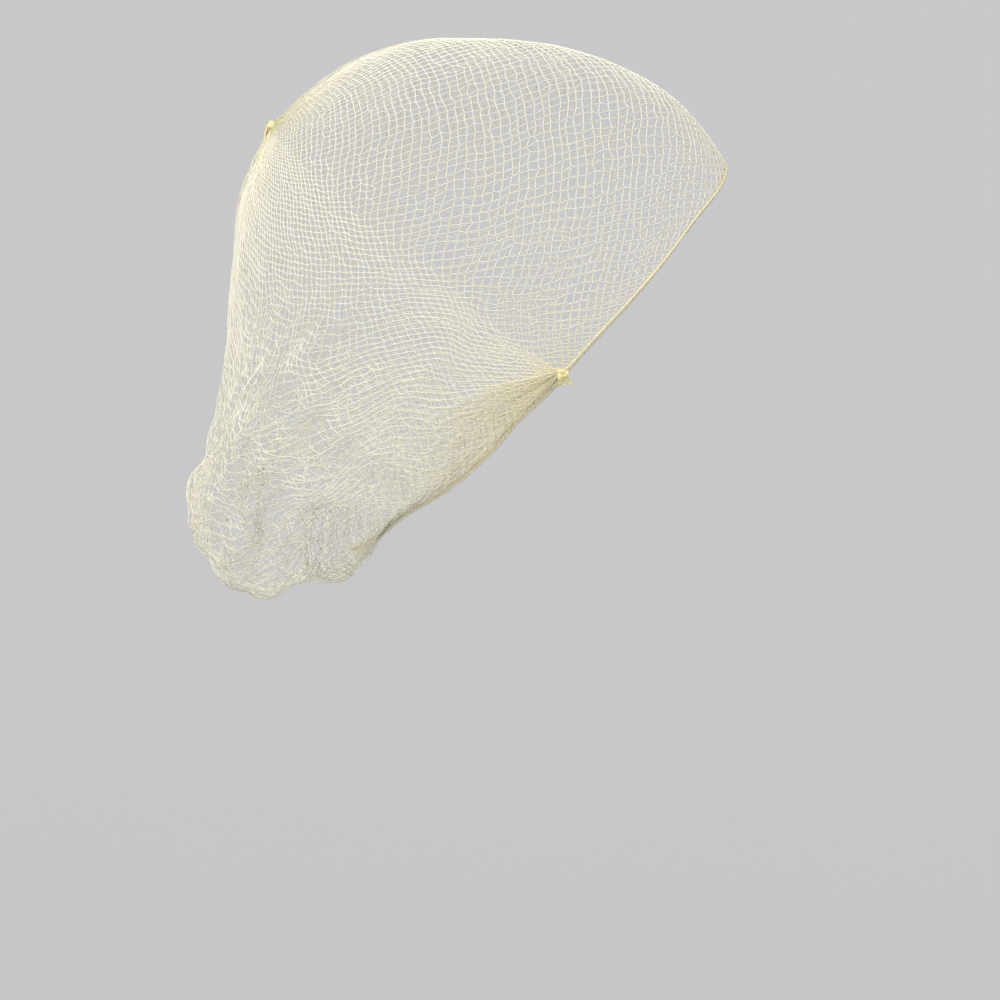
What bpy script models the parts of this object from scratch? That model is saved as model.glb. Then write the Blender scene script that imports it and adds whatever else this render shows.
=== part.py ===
"""Stretch hairnet in the form it has when worn: a thin net cap with a loose back pouch,
its elastic edge cord in two stretches, the two side knots and the crown knot.

Units are metres. +X is the front, +Y the wearer's left and +Z up.
The origin is on the inner face of the net at the top of the crown.
"""

import math

import bmesh
import bpy
from mathutils import Vector

# Crown form that the net is stretched over
CROWN_LENGTH = 0.1887
CROWN_BREADTH = 0.148
CROWN_HEIGHT = 0.0925
CROWN_ROUNDNESS = 2.2
FRONT_NARROWING = 0.06

# Back pouch, as offsets from the crown form along the middle of the back
POUCH_SWELL = 0.0278
POUCH_SAG = 0.050
PLEAT_DEPTH = 0.0034
SCALLOP_DEPTH = 0.0009

# Net wall and the small gathers drawn up in it
NET_THICKNESS = 0.001
EDGE_GATHER_DEPTH = 0.0007
CROWN_GATHER_DEPTH = 0.0007

# Elastic edge cord, and the clearance between touching pieces
CORD_DIAMETER = 0.0012
CLEARANCE = 0.0003

# Side knots, where the two stretches of cord and the net's ends are tied
SIDE_KNOT_LENGTH = 0.0056
SIDE_KNOT_WIDTH = 0.0046
SIDE_TAIL_LENGTH = 0.0052
SIDE_TAIL_DIAMETER = 0.0013

# Crown knot, which closes the top of the net
CROWN_KNOT_WIDTH = 0.0038
CROWN_KNOT_HEIGHT = 0.0034
CROWN_NECK_DIAMETER = 0.0020
CROWN_TAIL_LENGTH = 0.0052
CROWN_TAIL_DIAMETER = 0.0010
CROWN_KNOT_ANGLE = math.radians(142.5)

# Winding of all three knots
KNOT_LOBE = 0.10
KNOT_FLATTENING = 0.88
KNOT_COLOUR = (0.93, 0.84, 0.50)

# How the pleats, scallops and gathers rise and fade: shares of the gore from the cord up,
# and shares of the stretch behind a side knot
PLEAT_RISE = 0.10
PLEAT_FADE = 0.18
SCALLOP_BAND = (0.10, 0.18, 0.40, 0.55)
SCALLOP_SPREAD = (0.0, 0.6)
SCALLOP_WAVES = (14, 4)
EDGE_GATHER_BAND = (0.04, 0.16)
EDGE_GATHER_SPREAD = (-0.15, 0.20)
CROWN_GATHER_BAND = (0.74, 0.88, 0.95, 1.00)
GATHER_WAVES = 27

# Mesh resolution
GORES = 108
REAR_GORE_SHARE = 0.56
ROWS = 22
ROW_CROWDING = 1.25
STATION_SAMPLES = 120
EDGE_SAMPLES = 480
CORD_POINTS = 38
KNOT_SIDES = 10
TANGENT_STEP = 0.002

# Side view of the crown form: angle in degrees above the front, radius as a share of
# half the length and of the height. From 242 to 388 it only closes the open underside.
CROWN_PROFILE = [
    # angle, radius
    (28, 1.052), (39, 1.054), (47, 1.052), (62, 1.024), (81, 1.001),
    (90, 1.000), (97, 1.010), (108, 1.034), (120, 1.046), (141, 1.046),
    (152, 1.039), (164, 1.024), (172, 1.006), (184, 0.990), (197, 0.988),
    (212, 0.997), (226, 1.039), (236, 1.097), (242, 1.169), (250, 1.260),
    (260, 1.300), (285, 1.300), (309, 1.200), (337, 1.050), (356, 1.030),
    (369, 1.040), (379, 1.048),
]

# One half of the edge from the front to the nape: angle in degrees, and reach as a share
# of the crown form's radius there. A reach of 1 is on the middle line.
EDGE_STATIONS = [
    # angle, reach
    (28.5, 1.000), (23.9, 0.929), (18.6, 0.800), (9.3, 0.664), (-4.1, 0.542),
    (-22.6, 0.445), (-51.3, 0.372), (-57.2, 0.375), (-75.1, 0.398), (-89.3, 0.492),
    (-100.3, 0.610), (-109.6, 0.746), (-114.2, 0.884), (-118.0, 1.000),
]
SIDE_KNOT_STATION = 6

# Pouch along the middle of the back, from the nape cord up: place along the gore from the
# cord to the crown knot, offset back as a share of the swell, and down as a share of the sag.
POUCH_SECTIONS = [
    # along, back, down
    (0.000, 0.00, 0.00), (0.018, -0.08, 0.16), (0.036, -0.16, 0.33), (0.050, -0.13, 0.43),
    (0.071, -0.01, 0.51), (0.106, 0.17, 0.62), (0.132, 0.32, 0.73), (0.172, 0.51, 0.93),
    (0.208, 0.69, 1.00), (0.261, 0.91, 0.98), (0.308, 1.00, 0.90), (0.360, 0.95, 0.79),
    (0.411, 0.64, 0.70), (0.457, 0.42, 0.61), (0.542, 0.20, 0.44), (0.641, 0.08, 0.24),
    (0.727, 0.01, 0.08), (0.780, 0.00, 0.00), (1.000, 0.00, 0.00),
]

# Long pleats that hang in the pouch: side (-1 right, 1 left), place from the side knot to
# the middle of the back, width as a share of that stretch, depth as a share of the pleat
# depth, and where along the gore the pleat starts and ends.
POUCH_PLEATS = [
    # side, place, width, depth, start, end
    (-1, 0.46, 0.045, 0.75, 0.02, 0.42),
    (-1, 0.61, 0.045, 1.00, 0.02, 0.50),
    (-1, 0.76, 0.040, -0.80, 0.05, 0.46),
    (-1, 0.88, 0.045, 0.95, 0.06, 0.62),
    (1, 0.42, 0.050, 0.60, 0.02, 0.40),
    (1, 0.56, 0.045, 1.00, 0.02, 0.55),
    (1, 0.70, 0.040, -0.70, 0.04, 0.44),
    (1, 0.82, 0.045, 0.90, 0.05, 0.60),
    (1, 0.95, 0.040, -0.60, 0.08, 0.40),
]


def clear_scene():
    """Empty the file of the objects it starts with."""
    for item in list(bpy.data.objects):
        bpy.data.objects.remove(item, do_unlink=True)


def smooth(value):
    """Ease from 0 to 1 with level ends."""
    value = min(1.0, max(0.0, value))
    return value * value * (3.0 - 2.0 * value)


def rising(value, band):
    """Share from 0 where a band starts to 1 where it is full."""
    return smooth((value - band[0]) / (band[1] - band[0]))


def sampled(rows, column, place):
    """Read one column of a table at a place between its rows, on a smooth curve."""
    last = len(rows) - 1
    index = 0
    while index < last - 1 and place > rows[index + 1][0]:
        index += 1
    low, high = rows[index], rows[index + 1]
    before, after = rows[max(index - 1, 0)], rows[min(index + 2, last)]
    span = high[0] - low[0]
    share = min(1.0, max(0.0, (place - low[0]) / span))
    slope_low = (high[column] - before[column]) / (high[0] - before[0])
    slope_high = (after[column] - low[column]) / (after[0] - low[0])
    square, cube = share ** 2, share ** 3
    return (
        (2 * cube - 3 * square + 1) * low[column]
        + (cube - 2 * square + share) * span * slope_low
        + (3 * square - 2 * cube) * high[column]
        + (cube - square) * span * slope_high
    )


def crown_radius(angle):
    """Radius share of the crown form's side view at an angle in degrees."""
    first = CROWN_PROFILE[0][0]
    turned = first + (angle - first) % 360.0
    closing = (first + 360.0, CROWN_PROFILE[0][1])
    following = (CROWN_PROFILE[1][0] + 360.0, CROWN_PROFILE[1][1])
    return sampled(CROWN_PROFILE + [closing, following], 1, turned)


def direction(angle, reach, side):
    """Unit vector (front, up, left) for an angle in degrees, a reach and a side."""
    turn = math.radians(angle)
    height = math.sqrt(max(0.0, 1.0 - reach ** 2))
    return Vector((reach * math.cos(turn), reach * math.sin(turn), side * height))


def crown_point(heading):
    """Point of the crown form that a unit vector (front, up, left) looks at."""
    reach = min(1.0, math.hypot(heading[0], heading[1]))
    turn = math.atan2(heading[1], heading[0])
    radius = reach * crown_radius(math.degrees(turn))
    bulge = (1.0 - reach ** CROWN_ROUNDNESS) ** (1.0 / CROWN_ROUNDNESS)
    narrowing = 1.0 - FRONT_NARROWING * radius * math.cos(turn)
    return Vector((
        CROWN_LENGTH / 2 * radius * math.cos(turn),
        CROWN_BREADTH / 2 * math.copysign(bulge, heading[2]) * narrowing,
        CROWN_HEIGHT * (radius * math.sin(turn) - 1.0),
    ))


def between(start, end, share):
    """Unit vector part of the way along the arc between two others."""
    angle = start.angle(end)
    if angle < 1e-6:
        return start.copy()
    first = math.sin((1.0 - share) * angle) / math.sin(angle)
    second = math.sin(share * angle) / math.sin(angle)
    return start * first + end * second


def edge_loop():
    """Evenly spaced headings round the whole edge: front, right side, nape, left side."""
    right = [direction(angle, reach, -1) for angle, reach in EDGE_STATIONS]
    left = [direction(angle, reach, 1) for angle, reach in EDGE_STATIONS[-2:0:-1]]
    stations = right + left
    count = len(stations)
    dense = []
    for index, here in enumerate(stations):
        before = stations[index - 1]
        after = stations[(index + 1) % count]
        beyond = stations[(index + 2) % count]
        for step in range(STATION_SAMPLES):
            share = step / STATION_SAMPLES
            blended = spline_point(before, here, after, beyond, share)
            dense.append(blended.normalized())
    lengths = [0.0]
    for index, heading in enumerate(dense):
        following = dense[(index + 1) % len(dense)]
        step = (crown_point(following) - crown_point(heading)).length
        lengths.append(lengths[-1] + step)
    knot_place = lengths[SIDE_KNOT_STATION * STATION_SAMPLES] / lengths[-1]
    even = []
    index = 0
    for number in range(EDGE_SAMPLES):
        target = lengths[-1] * number / EDGE_SAMPLES
        while lengths[index + 1] < target:
            index += 1
        share = (target - lengths[index]) / (lengths[index + 1] - lengths[index])
        following = dense[(index + 1) % len(dense)]
        even.append(between(dense[index], following, share))
    return even, knot_place, lengths[-1]


def spline_point(before, start, end, beyond, share):
    """Point on the smooth curve through four neighbours, between the middle two."""
    gap_before = math.sqrt((start - before).length)
    gap = math.sqrt((end - start).length)
    gap_after = math.sqrt((beyond - end).length)
    slope_start = (start - before) / gap_before - (end - before) / (gap_before + gap)
    slope_start = (slope_start + (end - start) / gap) * gap
    slope_end = (end - start) / gap - (beyond - start) / (gap + gap_after)
    slope_end = (slope_end + (beyond - end) / gap_after) * gap
    square, cube = share ** 2, share ** 3
    return (
        start * (2 * cube - 3 * square + 1)
        + slope_start * (cube - 2 * square + share)
        + end * (3 * square - 2 * cube)
        + slope_end * (cube - square)
    )


EDGE, KNOT_PLACE, EDGE_LENGTH = edge_loop()
CROWN_KNOT_HEADING = direction(math.degrees(CROWN_KNOT_ANGLE), 1.0, 1)


def edge_heading(place):
    """Heading of the edge at a place from 0 to 1 round the loop."""
    spot = (place % 1.0) * EDGE_SAMPLES
    index = int(spot)
    return between(EDGE[index % EDGE_SAMPLES], EDGE[(index + 1) % EDGE_SAMPLES], spot - index)


def rear_share(place):
    """Share from a side knot (0) to the middle of the back (1); below 0 in front of the knot."""
    from_middle = abs(place - 0.5)
    return 1.0 - from_middle / (0.5 - KNOT_PLACE)


def crown_gore(place, along):
    """Point of the crown form on the gore that starts at a place on the edge."""
    return crown_point(between(edge_heading(place), CROWN_KNOT_HEADING, along))


def net_point(place, along):
    """Point on the inner face of the net: the crown form, with the pouch let down from it."""
    point = crown_gore(place, along)
    hang = smooth(rear_share(place))
    point.x -= POUCH_SWELL * hang * sampled(POUCH_SECTIONS, 1, along)
    point.z -= POUCH_SAG * hang ** 2 * sampled(POUCH_SECTIONS, 2, along)
    return point


def net_normal(place, along):
    """Outward normal of the smooth net, before pleats and gathers."""
    step = TANGENT_STEP
    along = min(1.0 - 2 * step, max(step, along))
    across = net_point(place + step, along) - net_point(place - step, along)
    upward = net_point(place, along + step) - net_point(place, along - step)
    return upward.cross(across).normalized()


def relief(place, along):
    """Height of the pleats, scallops and gathers over the smooth net."""
    share = rear_share(place)
    side = -1 if place < 0.5 else 1
    height = 0.0
    for pleat_side, spot, width, depth, start, end in POUCH_PLEATS:
        away = (share - spot) if side == pleat_side else (2.0 - share - spot)
        ridge = math.exp(-((away / width) ** 2))
        rise = smooth((along - start) / PLEAT_RISE) * smooth((end - along) / PLEAT_FADE)
        height += PLEAT_DEPTH * depth * ridge * rise
    scalloped = rising(share, SCALLOP_SPREAD) * rising(along, SCALLOP_BAND[:2])
    scalloped *= 1.0 - rising(along, SCALLOP_BAND[2:])
    ripple = math.sin(2 * math.pi * (SCALLOP_WAVES[0] * along + SCALLOP_WAVES[1] * place))
    height += SCALLOP_DEPTH * scalloped * ripple
    wave = math.sin(2 * math.pi * GATHER_WAVES * place)
    gathered = rising(share, EDGE_GATHER_SPREAD) * (1.0 - rising(along, EDGE_GATHER_BAND))
    height += EDGE_GATHER_DEPTH * gathered * wave
    drawn_in = rising(along, CROWN_GATHER_BAND[:2])
    drawn_in *= 1.0 - rising(along, CROWN_GATHER_BAND[2:])
    height += CROWN_GATHER_DEPTH * drawn_in * wave
    return height


def gore_places():
    """Places of the gores round the edge, closer together behind the side knots."""
    rear_gores = int(round(GORES / 2 * REAR_GORE_SHARE))
    front_gores = GORES // 2 - rear_gores
    right = [KNOT_PLACE * number / front_gores for number in range(front_gores)]
    rear = 0.5 - KNOT_PLACE
    right += [KNOT_PLACE + rear * number / rear_gores for number in range(rear_gores + 1)]
    left = [1.0 - place for place in right[-2:0:-1]]
    return right + left


def edge_gap(place):
    """Distance from the middle of the cord to the rim of the net, wider round the side knots."""
    beside_cord = CORD_DIAMETER / 2 + CLEARANCE
    off_knot = min(abs(place - KNOT_PLACE), abs(place - 1.0 + KNOT_PLACE)) * EDGE_LENGTH
    reach = SIDE_KNOT_LENGTH / 2 + 2 * CORD_DIAMETER
    if off_knot > reach:
        return beside_cord
    beside_knot = SIDE_KNOT_WIDTH / 2 + 2 * CLEARANCE
    return max(beside_cord, beside_knot * math.sqrt(1.0 - (off_knot / reach) ** 2))


def make_material(name, colour, roughness):
    """Plain finish for a sub-part."""
    material = bpy.data.materials.new(name)
    material.use_nodes = True
    shader = material.node_tree.nodes["Principled BSDF"]
    shader.inputs["Base Color"].default_value = (*colour, 1.0)
    shader.inputs["Roughness"].default_value = roughness
    shader.inputs["Metallic"].default_value = 0.0
    return material


def add_object(name, data, material, collection):
    """Put a mesh or curve in the collection as a named object with its finish."""
    data.materials.append(material)
    item = bpy.data.objects.new(name, data)
    collection.objects.link(item)
    return item


def net_grid():
    """Inner and outer rows of the net from the edge cord up to the crown knot."""
    hole = CROWN_NECK_DIAMETER / 2 + CLEARANCE
    columns = []
    for place in gore_places():
        top = 1.0
        knot_spot = net_point(place, 1.0)
        while (net_point(place, top) - knot_spot).length < hole:
            top -= TANGENT_STEP / 4
        start = 0.0
        cord_spot = net_point(place, 0.0)
        while (net_point(place, start) - cord_spot).length < edge_gap(place):
            start += TANGENT_STEP / 4
        inner, outer = [], []
        for row in range(ROWS + 1):
            along = start + (top - start) * (row / ROWS) ** ROW_CROWDING
            normal = net_normal(place, along)
            point = net_point(place, along) + normal * relief(place, along)
            inner.append(point)
            outer.append(point + normal * NET_THICKNESS)
        columns.append((inner, outer))
    return columns


def make_net(collection):
    """Net cap: one thin wall, open along the edge cord and round the crown knot's neck."""
    mesh = bpy.data.meshes.new("net")
    form = bmesh.new()
    skins = []
    columns = net_grid()
    for skin in range(2):
        skins.append([[form.verts.new(point) for point in column[skin]] for column in columns])
    inner, outer = skins
    count = len(columns)
    for here in range(count):
        after = (here + 1) % count
        for row in range(ROWS):
            form.faces.new((
                outer[here][row], outer[here][row + 1], outer[after][row + 1], outer[after][row]))
            form.faces.new((
                inner[here][row], inner[after][row], inner[after][row + 1], inner[here][row + 1]))
        form.faces.new((inner[here][0], outer[here][0], outer[after][0], inner[after][0]))
        form.faces.new((
            inner[here][ROWS], inner[after][ROWS], outer[after][ROWS], outer[here][ROWS]))
    bmesh.ops.recalc_face_normals(form, faces=form.faces)
    form.to_mesh(mesh)
    form.free()
    mesh.shade_smooth()
    add_object("net", mesh, make_material("net", (0.94, 0.92, 0.80), 0.6), collection)


def cord_point(place):
    """Middle of the edge cord, level with the middle of the net wall."""
    lift = net_normal(place, 0.0) * (NET_THICKNESS / 2)
    return crown_gore(place, 0.0) + lift


def make_cord(name, start, end, collection):
    """One stretch of the edge cord between the two side knots."""
    curve = bpy.data.curves.new(name, "CURVE")
    curve.dimensions = "3D"
    curve.bevel_depth = CORD_DIAMETER / 2
    curve.bevel_resolution = 2
    curve.use_fill_caps = True
    spline = curve.splines.new("POLY")
    spline.points.add(CORD_POINTS - 1)
    for number, point in enumerate(spline.points):
        place = start + (end - start) * number / (CORD_POINTS - 1)
        point.co = (*cord_point(place), 1.0)
    add_object(name, curve, make_material(name, (0.90, 0.88, 0.70), 0.55), collection)


def lofted_mesh(name, path, sizes, flattening, across):
    """Wound strand: lobed sections along a path, each with its own radius, closed at both ends."""
    mesh = bpy.data.meshes.new(name)
    form = bmesh.new()
    rings = []
    for number, (centre, size) in enumerate(zip(path, sizes)):
        ahead = path[min(number + 1, len(path) - 1)] - path[max(number - 1, 0)]
        ahead.normalize()
        side = (across - ahead * across.dot(ahead)).normalized()
        up = ahead.cross(side)
        ring = []
        for corner in range(KNOT_SIDES):
            turn = 2 * math.pi * corner / KNOT_SIDES
            lobe = 1.0 + KNOT_LOBE * math.cos(3 * turn + number)
            offset = side * math.cos(turn) + up * math.sin(turn) * flattening
            ring.append(form.verts.new(centre + offset * size * lobe))
        rings.append(ring)
    for lower, upper in zip(rings, rings[1:]):
        for corner in range(KNOT_SIDES):
            after = (corner + 1) % KNOT_SIDES
            form.faces.new((lower[corner], lower[after], upper[after], upper[corner]))
    form.faces.new(rings[0])
    form.faces.new(rings[-1])
    bmesh.ops.recalc_face_normals(form, faces=form.faces)
    form.to_mesh(mesh)
    form.free()
    mesh.shade_smooth()
    return mesh


def make_side_knot(name, place, collection, helpers):
    """Knot that ties the two cord stretches at one side, with its cut tail below the cord."""
    step = 2 * TANGENT_STEP
    centre = cord_point(place)
    outward = net_normal(place, 0.0)
    forward = cord_point(place + (-step if place < 0.5 else step)) - centre
    forward.normalize()
    downward = forward.cross(outward).normalized()
    if downward.z > 0:
        downward.negate()
    profile = [
        # along the knot, radius, each as a share
        (-1.00, 0.34), (-0.84, 0.66), (-0.50, 0.93), (0.00, 1.00),
        (0.50, 0.93), (0.84, 0.66), (1.00, 0.34),
    ]
    path = [centre + forward * (along * SIDE_KNOT_LENGTH / 2) for along, _ in profile]
    sizes = [share * SIDE_KNOT_WIDTH / 2 for _, share in profile]
    bead = lofted_mesh(name, path, sizes, KNOT_FLATTENING, downward)
    knot = add_object(name, bead, make_material(name, KNOT_COLOUR, 0.5), collection)
    tail_rows = [
        # forward, down and outward from the middle, and radius, as shares
        (0.02, 0.22, 0.02, 1.00), (0.04, 0.48, 0.06, 0.95), (0.08, 0.72, 0.08, 0.85),
        (0.16, 0.88, 0.08, 0.95), (0.26, 1.00, 0.06, 1.10),
    ]
    tail_path = []
    for ahead, down, out, _ in tail_rows:
        bend = forward * ahead + downward * down + outward * out
        tail_path.append(centre + bend * SIDE_TAIL_LENGTH)
    tail_sizes = [row[3] * SIDE_TAIL_DIAMETER / 2 for row in tail_rows]
    tail_name = name + "_tail"
    strand = lofted_mesh(tail_name, tail_path, tail_sizes, 1.0, forward)
    tail = add_object(tail_name, strand, make_material(tail_name, KNOT_COLOUR, 0.5), helpers)
    tail.hide_render = True
    tail.display_type = "WIRE"
    joining = knot.modifiers.new("tail", "BOOLEAN")
    joining.operation = "UNION"
    joining.object = tail


def make_crown_knot(collection):
    """Knot that closes the top of the net: a neck in the hole, a wound bead and a cut tail."""
    base = crown_point(CROWN_KNOT_HEADING)
    outward = net_normal(0.5, 0.97)
    outward.y = 0.0
    outward.normalize()
    downward = outward.cross(Vector((0.0, 1.0, 0.0)))
    neck = CROWN_NECK_DIAMETER / 2
    half_width = CROWN_KNOT_WIDTH / 2
    seat = NET_THICKNESS + CROWN_GATHER_DEPTH + CLEARANCE
    path = [base, base + outward * seat]
    sizes = [neck * 0.85, neck * 0.85]
    profile = [
        # height through the bead, radius, each as a share
        (0.14, 0.80), (0.40, 1.00), (0.70, 0.88), (0.92, 0.52),
    ]
    for height, share in profile:
        path.append(base + outward * (seat + height * CROWN_KNOT_HEIGHT))
        sizes.append(share * half_width)
    crest = path[-1]
    tail = [
        # outward, down and radius, as shares of the tail's length and radius
        (0.16, 0.12, 1.00), (0.20, 0.42, 0.90), (0.02, 0.80, 1.10),
    ]
    for out, down, share in tail:
        path.append(crest + (outward * out + downward * down) * CROWN_TAIL_LENGTH)
        sizes.append(share * CROWN_TAIL_DIAMETER / 2)
    bead = lofted_mesh("crown_knot", path, sizes, KNOT_FLATTENING, Vector((0.0, 1.0, 0.0)))
    add_object("crown_knot", bead, make_material("crown_knot", KNOT_COLOUR, 0.5), collection)


def main():
    """Build the hairnet in its own collection."""
    clear_scene()
    collection = bpy.data.collections.new("hairnet")
    bpy.context.scene.collection.children.link(collection)
    helpers = bpy.data.collections.new("helpers")
    bpy.context.scene.collection.children.link(helpers)
    make_net(collection)
    knot_reach = (SIDE_KNOT_LENGTH / 2 + CLEARANCE) / EDGE_LENGTH
    make_cord("elastic_back", KNOT_PLACE + knot_reach, 1.0 - KNOT_PLACE - knot_reach, collection)
    make_cord("elastic_front", 1.0 - KNOT_PLACE + knot_reach, 1.0 + KNOT_PLACE - knot_reach,
              collection)
    make_side_knot("side_knot_right", KNOT_PLACE, collection, helpers)
    make_side_knot("side_knot_left", 1.0 - KNOT_PLACE, collection, helpers)
    make_crown_knot(collection)


main()
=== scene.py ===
"""Knit and tie a stretch hairnet over its solid frame: yarns, edge cord, loops, gathers and knots."""

import math

import bpy
import numpy as np
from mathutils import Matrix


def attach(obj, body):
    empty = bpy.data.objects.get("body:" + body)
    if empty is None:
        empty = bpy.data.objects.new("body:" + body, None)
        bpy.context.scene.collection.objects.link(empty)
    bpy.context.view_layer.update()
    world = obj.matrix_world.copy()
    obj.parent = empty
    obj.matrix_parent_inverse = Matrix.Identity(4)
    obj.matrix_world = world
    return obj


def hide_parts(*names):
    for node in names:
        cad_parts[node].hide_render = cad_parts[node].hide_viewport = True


bl_info = {
    "name": "Hairnet",
    "version": (1, 0, 0),
    "blender": (4, 5, 0),
    "location": "3D View > Sidebar > Hairnet",
    "description": "Knits a worn hairnet with its pouch, edge cord and knots",
    "category": "Object",
}

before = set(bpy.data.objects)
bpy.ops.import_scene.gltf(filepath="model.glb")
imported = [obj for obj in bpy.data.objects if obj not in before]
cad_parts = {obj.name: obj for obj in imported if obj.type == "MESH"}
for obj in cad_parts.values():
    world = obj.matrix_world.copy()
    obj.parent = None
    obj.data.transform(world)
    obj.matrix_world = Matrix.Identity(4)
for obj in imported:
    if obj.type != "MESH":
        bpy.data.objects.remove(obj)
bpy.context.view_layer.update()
SIDE_KNOTS = ("side_knot_right", "side_knot_left")

# Side view of the crown: angle in degrees above the front, radius as a share of half the
# length and of the height.
CROWN_PROFILE = np.array([
    (28, 1.052), (39, 1.054), (47, 1.052), (62, 1.024), (81, 1.001),
    (90, 1.000), (97, 1.010), (108, 1.034), (120, 1.046), (141, 1.046),
    (152, 1.039), (164, 1.024), (172, 1.006), (184, 0.990), (197, 0.988),
    (212, 0.997), (226, 1.039), (236, 1.097), (242, 1.169), (250, 1.260),
    (260, 1.300), (285, 1.300), (309, 1.200), (337, 1.050), (356, 1.030),
    (369, 1.040), (379, 1.048), (388, 1.052), (399, 1.054),
])

# One half of the edge from the front to the nape: angle in degrees, and reach as a share
# of the crown's radius there.
EDGE_STATIONS = [
    (28.5, 1.000), (23.9, 0.929), (18.6, 0.800), (9.3, 0.664), (-4.1, 0.542),
    (-22.6, 0.445), (-51.3, 0.372), (-57.2, 0.375), (-75.1, 0.398), (-89.3, 0.492),
    (-100.3, 0.610), (-109.6, 0.746), (-114.2, 0.884), (-118.0, 1.000),
]
SIDE_KNOT_STATION = 6
STATION_STEPS = 120
CROWN_KNOT_ANGLE = 142.5

# Pouch along the middle of the back: place along the gore from the nape cord up, offset
# back as a share of the swell, and down as a share of the sag.
POUCH_SECTIONS = np.array([
    (0.000, 0.00, 0.00), (0.018, -0.08, 0.16), (0.036, -0.16, 0.33), (0.050, -0.13, 0.43),
    (0.071, -0.01, 0.51), (0.106, 0.17, 0.62), (0.132, 0.32, 0.73), (0.172, 0.51, 0.93),
    (0.208, 0.69, 1.00), (0.261, 0.91, 0.98), (0.308, 1.00, 0.90), (0.360, 0.95, 0.79),
    (0.411, 0.64, 0.70), (0.457, 0.42, 0.61), (0.542, 0.20, 0.44), (0.641, 0.08, 0.24),
    (0.727, 0.01, 0.08), (0.780, 0.00, 0.00), (1.000, 0.00, 0.00),
])

# Long pleats in the pouch: side, place from the side knot to the middle of the back, width,
# depth as a share of the pleat depth, and where along the gore the pleat starts and ends.
POUCH_PLEATS = [
    (-1, 0.46, 0.045, 0.75, 0.02, 0.42), (-1, 0.61, 0.045, 1.00, 0.02, 0.50),
    (-1, 0.76, 0.040, -0.80, 0.05, 0.46), (-1, 0.88, 0.045, 0.95, 0.06, 0.62),
    (1, 0.42, 0.050, 0.60, 0.02, 0.40), (1, 0.56, 0.045, 1.00, 0.02, 0.55),
    (1, 0.70, 0.040, -0.70, 0.04, 0.44), (1, 0.82, 0.045, 0.90, 0.05, 0.60),
    (1, 0.95, 0.040, -0.60, 0.08, 0.40),
]

# How pleats and scallops rise and fade: shares of the gore, and of the stretch behind a knot
PLEAT_RISE = 0.10
PLEAT_FADE = 0.18
SCALLOP_BAND = (0.10, 0.18, 0.40, 0.55)
SCALLOP_SPREAD = (0.0, 0.6)
SCALLOP_WAVES = (14, 4)

# How strongly a pleat draws in the yarns beside it, and how far over its own width
PLEAT_PULL = 0.62
PLEAT_PULL_REACH = 1.5

# Slackness of the net: least anywhere, bands where it sets in behind the side knots and over
# the edge, and the band higher up where it ends
LEAST_SLACK = 0.22
SLACK_BEHIND = (0.15, 0.75)
SLACK_START = (0.02, 0.14)
SLACK_END = (0.40, 0.78)

# Wales: how closely the edge draws them to the side knots, and how far up they spread again
FRONT_DRAW = 1.3
BACK_DRAW = 1.75
DRAWN_BAND = 0.36

# Rows: first place, span and crowding up the gore, and how the crowding sets in at the back
FIRST_ROW = 0.0035
ROW_SPAN = 0.9845
ROW_CROWDING = (1.03, 0.17)
CROWDING_SPREAD = (2.6, 0.3)

# Tangles that make the net uneven: waves in each, their slant and weight, and the cells that
# the finest wave spans in the drift, the drop and the puffs
TANGLE_WAVES = 14
TANGLE_SLANT = 0.5
TANGLE_WEIGHT = 0.42
TANGLE_CELLS = (13, 13, 9)

# Stitches: farthest wander and gap beside a stitch, in cells, and the rows over which the edge
# and the crown knot let go of them
WANDER_LIMIT = 0.42
STITCH_GAP = 0.07
HELD_ROWS = (3.0, 8.0)

# Loose net: what it makes of a stitch's own wander, and how far it sinks in
LOOSE_COLUMN = 1.7
LOOSE_LINE = 1.5
LOOSE_LIFT = 2.0
LOOSE_SINK = 1.4

# Height of the yarns, in wall thicknesses: at rest, where the net is loose, and in heaps near
# the top. How far from the top the heaps and the tent at the crown knot reach.
YARN_LIFT = 0.35
LOOSE_HEIGHT = 0.45
HEAP = 1.1
HEAP_REACH = 0.10
TENT_REACH = 0.028
TENT_POWER = 1.5

# Yarns: how far from the top they thin and by how much, points for each row, and sides
CROWDED_REACH = 0.15
CROWDED_THINNING = 0.5
YARN_STEPS = 3
YARN_SIDES = 4

# Tint of drawn yarns: strength and reach at the crown knot and at the side knots, and how much
# more a distance round the net counts there than one up the gore
CROWN_TINT, CROWN_TINT_REACH = 1.3, 0.07
SIDE_TINT, SIDE_TINT_REACH, SIDE_TINT_NARROWING = 1.2, 0.05, 2.0

# Loose fold inside the pouch: where it starts behind the knots, looseness, top, the band in
# which it leaves the wall, and its ends: rows that they differ by, and how and where they thin
FOLD_START = 0.36
FOLD_LOOSENESS = 0.6
FOLD_TOP = 0.52
FOLD_BAND = 0.1
FOLD_FRAY = 8
FRAY_ROWS = 3
FRAY_THINNING = 0.9

# What is added to the seed, so that each kind of work is uneven in its own way
FOLD_SEED, LOOP_SEED, GATHER_SEED, CREST_SEED = 60, 3, 10, 20

# Sides of loose yarns and of a knot's strands
LOOSE_SIDES, STRAND_SIDES = 3, 6

# Cut ends at a side knot: lean to the front and outwards. Stops on the way down: how low,
# share of the lean and offset to the front. All are shares of the tail's reach.
SIDE_TAILS = ((0.13, 0.03), (-0.03, 0.10), (0.05, 0.0))
SIDE_TAIL_STOPS = ((0.50, 1.0, 0.01), (0.80, 0.7, -0.05), (1.06, 0.4, -0.10))

# Cut ends at the crown knot, as shares of the tail's reach: how far sideways and how low
CROWN_TAILS = ((0.22, 0.95), (-0.16, 0.80), (0.02, 1.0))

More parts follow.
